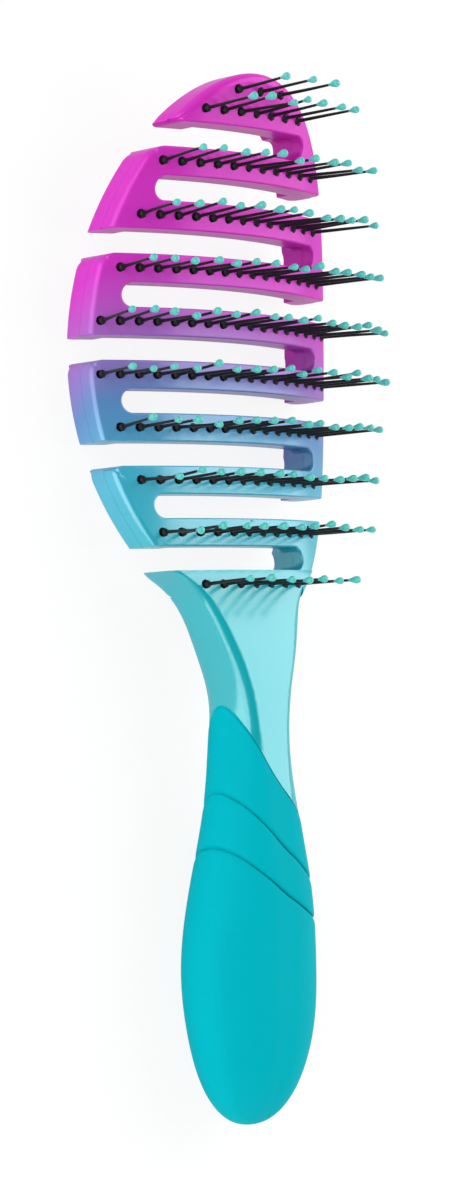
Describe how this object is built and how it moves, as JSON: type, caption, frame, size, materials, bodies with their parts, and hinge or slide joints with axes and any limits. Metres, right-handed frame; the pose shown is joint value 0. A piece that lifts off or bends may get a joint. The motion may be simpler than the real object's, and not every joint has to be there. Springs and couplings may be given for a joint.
{
  "type": "detangling brush",
  "caption": "Detangling hair brush whose serpentine head of slotted bars flexes and carries fanned pins with round tips, on a slim neck and a soft-grip handle.",
  "frame": {"origin": "middle of the brush's outline on the surface that it lies on, with its back down", "axes": "+Y from the heel of the handle to the tip of the head, +Z the way the pins point, X across"},
  "size_m": [0.087, 0.2344, 0.0451],
  "materials": {
    "shell_magenta": "pearl paint",
    "shell_violet": "pearl paint",
    "shell_blue": "pearl paint",
    "shell_aqua": "pearl paint",
    "grip_rubber": "matte",
    "pin_black": "satin",
    "tip_mint": "satin"
  },
  "bodies": {
    "handle": {"handle_core": "shell_aqua", "grip": "grip_rubber", "rear_cover_10": "shell_aqua", "pins_row_10": "pin_black", "tips_row_10": "tip_mint", "front_link_9": "shell_aqua", "rear_link_9": "shell_aqua"},
    "bar_1": {"front_bar_1": "shell_magenta", "rear_cover_1": "shell_magenta", "pins_row_1": "pin_black", "tips_row_1": "tip_mint"},
    "bar_2": {"front_bar_2": "shell_magenta", "rear_cover_2": "shell_magenta", "pins_row_2": "pin_black", "tips_row_2": "tip_mint", "front_link_1": "shell_magenta", "rear_link_1": "shell_magenta"},
    "bar_3": {"front_bar_3": "shell_magenta", "rear_cover_3": "shell_magenta", "pins_row_3": "pin_black", "tips_row_3": "tip_mint", "front_link_2": "shell_magenta", "rear_link_2": "shell_magenta"},
    "bar_4": {"front_bar_4": "shell_magenta", "rear_cover_4": "shell_magenta", "pins_row_4": "pin_black", "tips_row_4": "tip_mint", "front_link_3": "shell_magenta", "rear_link_3": "shell_magenta"},
    "bar_5": {"front_bar_5": "shell_violet", "rear_cover_5": "shell_violet", "pins_row_5": "pin_black", "tips_row_5": "tip_mint", "front_link_4": "shell_violet", "rear_link_4": "shell_violet"},
    "bar_6": {"front_bar_6": "shell_blue", "rear_cover_6": "shell_blue", "pins_row_6": "pin_black", "tips_row_6": "tip_mint", "front_link_5": "shell_blue", "rear_link_5": "shell_blue"},
    "bar_7": {"front_bar_7": "shell_blue", "rear_cover_7": "shell_blue", "pins_row_7": "pin_black", "tips_row_7": "tip_mint", "front_link_6": "shell_blue", "rear_link_6": "shell_blue"},
    "bar_8": {"front_bar_8": "shell_aqua", "rear_cover_8": "shell_aqua", "pins_row_8": "pin_black", "tips_row_8": "tip_mint", "front_link_7": "shell_aqua", "rear_link_7": "shell_aqua"},
    "bar_9": {"front_bar_9": "shell_aqua", "rear_cover_9": "shell_aqua", "pins_row_9": "pin_black", "tips_row_9": "tip_mint", "front_link_8": "shell_aqua", "rear_link_8": "shell_aqua"}
  },
  "joints": [
    {"name": "web_1_flex", "type": "hinge", "parent": "bar_2", "child": "bar_1", "pos_m": [0, 0.10247, 0.01766], "axis": [1, 0, 0], "range_deg": [-3, 3], "stiffness_Nm_per_rad": 2.5, "deforming": ["front_link_1", "rear_link_1"]},
    {"name": "web_2_flex", "type": "hinge", "parent": "bar_3", "child": "bar_2", "pos_m": [0, 0.09083, 0.01315], "axis": [1, 0, 0], "range_deg": [-3, 3], "stiffness_Nm_per_rad": 2.5, "deforming": ["front_link_2", "rear_link_2"]},
    {"name": "web_3_flex", "type": "hinge", "parent": "bar_4", "child": "bar_3", "pos_m": [0, 0.07917, 0.00968], "axis": [1, 0, 0], "range_deg": [-3, 3], "stiffness_Nm_per_rad": 2.5, "deforming": ["front_link_3", "rear_link_3"]},
    {"name": "web_4_flex", "type": "hinge", "parent": "bar_5", "child": "bar_4", "pos_m": [0, 0.06753, 0.00729], "axis": [1, 0, 0], "range_deg": [-3, 3], "stiffness_Nm_per_rad": 2.5, "deforming": ["front_link_4", "rear_link_4"]},
    {"name": "web_5_flex", "type": "hinge", "parent": "bar_6", "child": "bar_5", "pos_m": [0, 0.05588, 0.006], "axis": [1, 0, 0], "range_deg": [-3, 3], "stiffness_Nm_per_rad": 2.5, "deforming": ["front_link_5", "rear_link_5"]},
    {"name": "web_6_flex", "type": "hinge", "parent": "bar_7", "child": "bar_6", "pos_m": [0, 0.04423, 0.00583], "axis": [1, 0, 0], "range_deg": [-3, 3], "stiffness_Nm_per_rad": 2.5, "deforming": ["front_link_6", "rear_link_6"]},
    {"name": "web_7_flex", "type": "hinge", "parent": "bar_8", "child": "bar_7", "pos_m": [0, 0.03257, 0.00677], "axis": [1, 0, 0], "range_deg": [-3, 3], "stiffness_Nm_per_rad": 2.5, "deforming": ["front_link_7", "rear_link_7"]},
    {"name": "web_8_flex", "type": "hinge", "parent": "bar_9", "child": "bar_8", "pos_m": [0, 0.02092, 0.0088], "axis": [1, 0, 0], "range_deg": [-3, 3], "stiffness_Nm_per_rad": 2.5, "deforming": ["front_link_8", "rear_link_8"]},
    {"name": "web_9_flex", "type": "hinge", "parent": "handle", "child": "bar_9", "pos_m": [0, 0.00928, 0.01186], "axis": [1, 0, 0], "range_deg": [-3, 3], "stiffness_Nm_per_rad": 2.5, "deforming": ["front_link_9", "rear_link_9"]}
  ]
}
